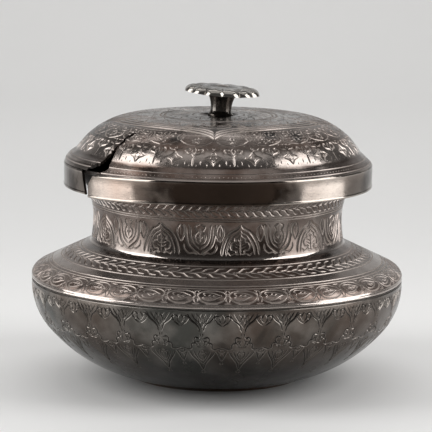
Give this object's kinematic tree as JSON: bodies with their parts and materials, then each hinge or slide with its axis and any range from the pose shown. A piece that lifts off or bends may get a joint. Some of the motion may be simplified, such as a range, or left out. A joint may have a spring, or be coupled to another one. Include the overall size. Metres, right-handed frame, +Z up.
{
  "type": "covered vessel",
  "caption": "Round covered vessel of engraved tinned copper: wide bowl on a low foot ring, sloping shoulder, waisted neck, and a lift-off domed lid with a cracked brim and a rosette knob.",
  "frame": {"origin": "on the ground, at the middle of the foot ring", "axes": "+Z up along the vessel's turning axis, front towards -Y, the lid's crack to the front left"},
  "size_m": [0.2114, 0.2114, 0.1669],
  "materials": {
    "tinned_copper": "worn tin over copper, engraved, dark in the cuts; brass stands in for copper",
    "bare_copper": "polished copper with brown tarnish; brass stands in for copper",
    "dark_bronze": "dark cast bronze, smooth stem and engraved rosette"
  },
  "bodies": {
    "vessel": {"foot_ring": "bare_copper", "bowl": "tinned_copper", "shoulder": "tinned_copper", "neck": "tinned_copper"},
    "lid": {"lid_dome": "tinned_copper", "lid_band": "bare_copper", "knob_stem": "dark_bronze", "knob_rosette": "dark_bronze", "knob_rivet": "bare_copper", "knob_rove": "bare_copper"}
  },
  "joints": [
    {"name": "lid_lift", "type": "slide", "parent": "vessel", "child": "lid", "axis": [0, 0, 1], "range_m": [0, 0.12]}
  ]
}
